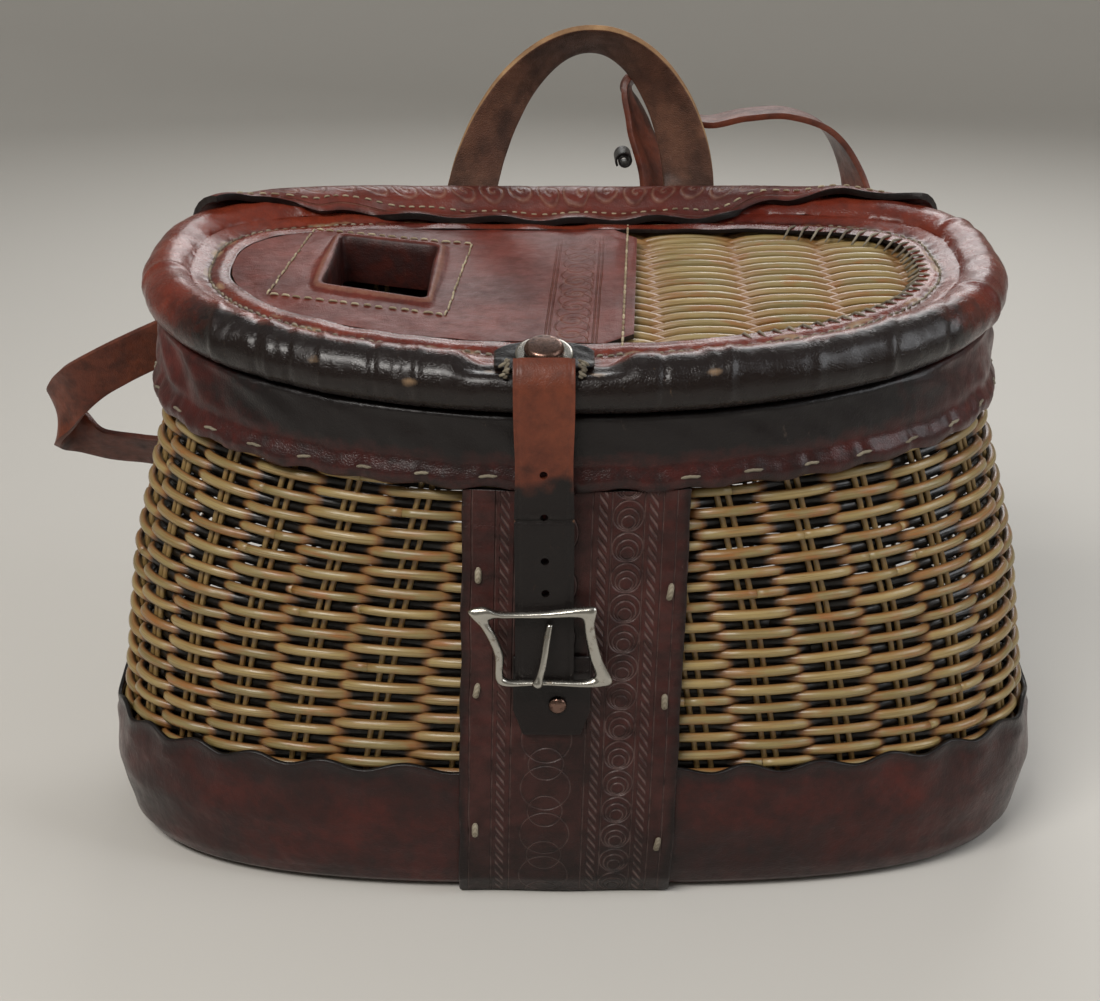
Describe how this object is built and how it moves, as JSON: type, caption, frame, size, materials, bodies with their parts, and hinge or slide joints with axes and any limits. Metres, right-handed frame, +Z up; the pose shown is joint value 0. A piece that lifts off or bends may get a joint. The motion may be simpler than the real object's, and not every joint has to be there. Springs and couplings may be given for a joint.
{
  "type": "fishing creel bag",
  "caption": "Oval wicker fishing creel with leather base, collar and hinged lid with a fish hole, buckled closure strap, carrying handle and shoulder strap.",
  "frame": {"origin": "on the floor, below the middle of the flat bottom", "axes": "+X to the right as seen from the front, -Y towards the front with the buckle, +Z up"},
  "size_m": [0.406, 0.2364, 0.2895],
  "materials": {
    "wicker": "varnished whole willow rods, straw and olive with orange-brown ends",
    "base_leather": "glossy dark red-brown moulded leather",
    "dark_leather": "glossy near-black leather, puckered and stitched",
    "tooled_leather": "hand-tooled leather with rope and scroll borders, waxed",
    "lid_leather": "red-brown tooled leather, worn and waxed",
    "strap_leather": "reddish tan strap leather, darkened by handling, sueded inside",
    "flesh_leather": "mottled brown flesh side with a light raw edge",
    "nickel": "worn nickel-plated steel"
  },
  "bodies": {
    "root": {"wicker_body": "wicker", "base_wrap": "base_leather", "collar": "dark_leather", "front_panel": "tooled_leather", "lid_wicker": "wicker", "lid_cover": "lid_leather", "hole_lining": "dark_leather", "lid_rim": "dark_leather", "hinge_flap": "lid_leather", "latch_tab": "dark_leather", "closure_strap": "strap_leather", "latch_washer": "nickel", "rivet_cap": "nickel", "buckle_chape": "dark_leather", "chape_rivet": "nickel", "buckle_frame": "nickel", "buckle_tongue": "nickel", "handle": "flesh_leather", "strap_left": "strap_leather", "strap_middle": "strap_leather", "strap_right": "strap_leather", "strap_roll": "dark_leather"}
  },
  "joints": []
}
